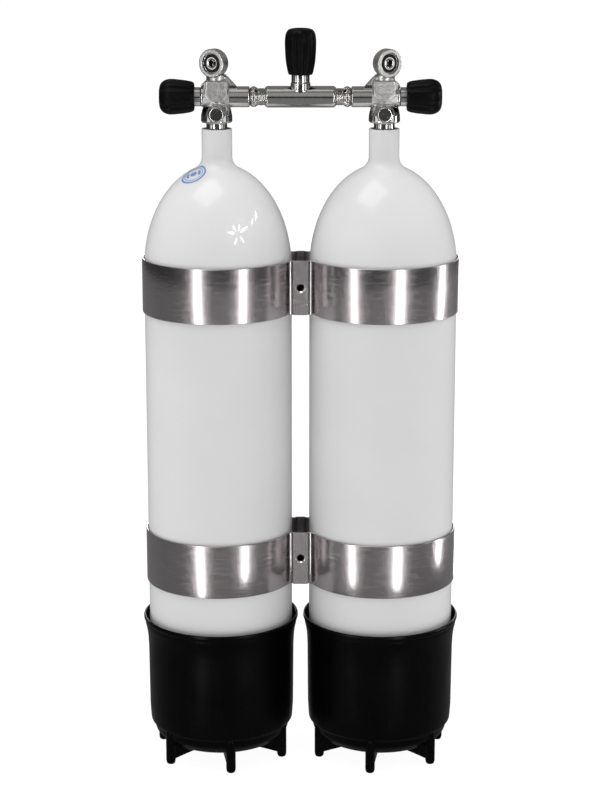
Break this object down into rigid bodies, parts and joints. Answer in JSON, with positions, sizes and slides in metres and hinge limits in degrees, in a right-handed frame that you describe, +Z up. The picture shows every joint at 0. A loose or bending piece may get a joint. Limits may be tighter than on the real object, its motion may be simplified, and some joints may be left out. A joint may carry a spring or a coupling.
{
  "type": "twin scuba cylinder set",
  "caption": "Twin white scuba cylinders in black boots, joined by steel bands and a chromed manifold with turning valve knobs.",
  "frame": {"origin": "on the floor, midway between the two cylinders", "axes": "+Z up along the cylinders, +X across from the left to the right cylinder, the band plates and outlets face -Y"},
  "size_m": [0.3766, 0.1852, 0.8712],
  "materials": {
    "white_paint": "gloss",
    "boot_rubber": "semi-gloss",
    "knob_rubber": "satin",
    "brushed_stainless": "brushed",
    "chrome": "polished",
    "brass": "turned",
    "seal_rubber": "matte",
    "nylon": "matte"
  },
  "bodies": {
    "tank_set": {"isolator_body": "chrome", "isolator_bonnet": "chrome", "isolator_slip_washer": "nylon", "isolator_spindle_o_ring": "seal_rubber", "left_bonnet": "chrome", "left_boot": "boot_rubber", "left_crossover_inner_o_ring": "seal_rubber", "left_crossover_outer_o_ring": "seal_rubber", "left_crossover_tube": "chrome", "left_cylinder": "white_paint", "left_dip_tube": "brass", "left_lock_ring": "chrome", "left_neck_o_ring": "seal_rubber", "left_outlet_insert": "chrome", "left_outlet_o_ring": "seal_rubber", "left_slip_washer": "nylon", "left_spindle_o_ring": "seal_rubber", "left_valve_body": "chrome", "lower_band_bolt": "brushed_stainless", "lower_band_front_plate": "brushed_stainless", "lower_band_left_hoop": "brushed_stainless", "lower_band_rear_plate": "brushed_stainless", "lower_band_right_hoop": "brushed_stainless", "lower_band_spacer": "brushed_stainless", "right_bonnet": "chrome", "right_boot": "boot_rubber", "right_crossover_inner_o_ring": "seal_rubber", "right_crossover_outer_o_ring": "seal_rubber", "right_crossover_tube": "chrome", "right_cylinder": "white_paint", "right_dip_tube": "brass", "right_lock_ring": "chrome", "right_neck_o_ring": "seal_rubber", "right_outlet_insert": "chrome", "right_outlet_o_ring": "seal_rubber", "right_slip_washer": "nylon", "right_spindle_o_ring": "seal_rubber", "right_valve_body": "chrome", "upper_band_bolt": "brushed_stainless", "upper_band_front_plate": "brushed_stainless", "upper_band_left_hoop": "brushed_stainless", "upper_band_rear_plate": "brushed_stainless", "upper_band_right_hoop": "brushed_stainless", "upper_band_spacer": "brushed_stainless"},
    "left_knob_body": {"left_knob": "knob_rubber", "left_knob_nut": "chrome", "left_spindle": "chrome"},
    "left_plug_body": {"left_seat_plug": "brass", "left_seat_disc": "nylon"},
    "right_knob_body": {"right_knob": "knob_rubber", "right_knob_nut": "chrome", "right_spindle": "chrome"},
    "right_plug_body": {"right_seat_plug": "brass", "right_seat_disc": "nylon"},
    "isolator_knob_body": {"isolator_knob": "knob_rubber", "isolator_knob_nut": "chrome", "isolator_spindle": "chrome"},
    "isolator_plug_body": {"isolator_seat_plug": "brass", "isolator_seat_disc": "nylon"}
  },
  "joints": [
    {"name": "left_knob_turn", "type": "hinge", "parent": "tank_set", "child": "left_knob_body", "pos_m": [-0.097, 0, 0.794], "axis": [-1, 0, 0], "range_deg": [0, 1080]},
    {"name": "left_plug_travel", "type": "slide", "parent": "left_knob_body", "child": "left_plug_body", "axis": [-1, 0, 0], "range_m": [0, 0.0038]},
    {"name": "right_knob_turn", "type": "hinge", "parent": "tank_set", "child": "right_knob_body", "pos_m": [0.097, 0, 0.794], "axis": [1, 0, 0], "range_deg": [0, 1080]},
    {"name": "right_plug_travel", "type": "slide", "parent": "right_knob_body", "child": "right_plug_body", "axis": [1, 0, 0], "range_m": [0, 0.0038]},
    {"name": "isolator_knob_turn", "type": "hinge", "parent": "tank_set", "child": "isolator_knob_body", "pos_m": [0, 0, 0.794], "axis": [0, 0, 1], "range_deg": [0, 1080]},
    {"name": "isolator_plug_travel", "type": "slide", "parent": "isolator_knob_body", "child": "isolator_plug_body", "axis": [0, 0, 1], "range_m": [0, 0.0038]}
  ],
  "couplings": [
    {"joint": "left_plug_travel", "follows": "left_knob_turn", "m_per_rad": 0.00019894},
    {"joint": "right_plug_travel", "follows": "right_knob_turn", "m_per_rad": 0.00019894},
    {"joint": "isolator_plug_travel", "follows": "isolator_knob_turn", "m_per_rad": 0.00019894}
  ]
}
